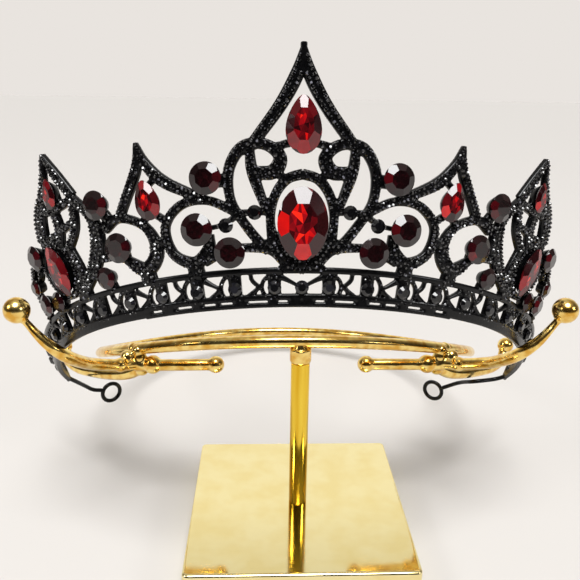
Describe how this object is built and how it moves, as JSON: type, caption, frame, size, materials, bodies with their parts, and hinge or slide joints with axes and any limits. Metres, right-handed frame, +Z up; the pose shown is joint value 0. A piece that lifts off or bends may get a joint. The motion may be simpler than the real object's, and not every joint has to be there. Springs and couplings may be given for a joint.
{
  "type": "tiara on a display stand",
  "caption": "Black openwork tiara with pointed peaks, scrolls and dark red cut stones, resting on a gold display stand with a square base, a post, a sloping ring and two arms.",
  "frame": {"origin": "middle of the base plate's underside, where it rests on the table", "axes": "+Z up; -Y towards the front of the tiara; +X to the right as seen from the front"},
  "size_m": [0.187, 0.1893, 0.1642],
  "materials": {
    "black_metal": "glossy black plated cast alloy, set with small black stones",
    "red_stone": "faceted dark red glass with foiled back",
    "grey_stone": "faceted dark grey glass with foiled back",
    "yellow_gold": "polished gold plated steel",
    "pale_gold": "mirror polished pale gold plated steel"
  },
  "bodies": {
    "root": {"base_plate": "pale_gold", "post": "yellow_gold", "ring_and_arms": "yellow_gold", "tiara_frame": "black_metal", "band_stones": "grey_stone", "front_pear": "red_stone", "front_oval": "red_stone", "left_round_1": "red_stone", "left_round_2": "red_stone", "left_round_3": "red_stone", "left_round_4": "red_stone", "left_round_5": "red_stone", "left_round_6": "red_stone", "left_round_7": "red_stone", "left_round_8": "red_stone", "left_round_9": "red_stone", "left_round_10": "red_stone", "left_pear_1": "red_stone", "left_pear_2": "red_stone", "left_navette": "red_stone", "left_dot_1": "grey_stone", "left_dot_2": "grey_stone", "right_round_1": "red_stone", "right_round_2": "red_stone", "right_round_3": "red_stone", "right_round_4": "red_stone", "right_round_5": "red_stone", "right_round_6": "red_stone", "right_round_7": "red_stone", "right_round_8": "red_stone", "right_round_9": "red_stone", "right_round_10": "red_stone", "right_pear_1": "red_stone", "right_pear_2": "red_stone", "right_navette": "red_stone", "right_dot_1": "grey_stone", "right_dot_2": "grey_stone"}
  },
  "joints": []
}
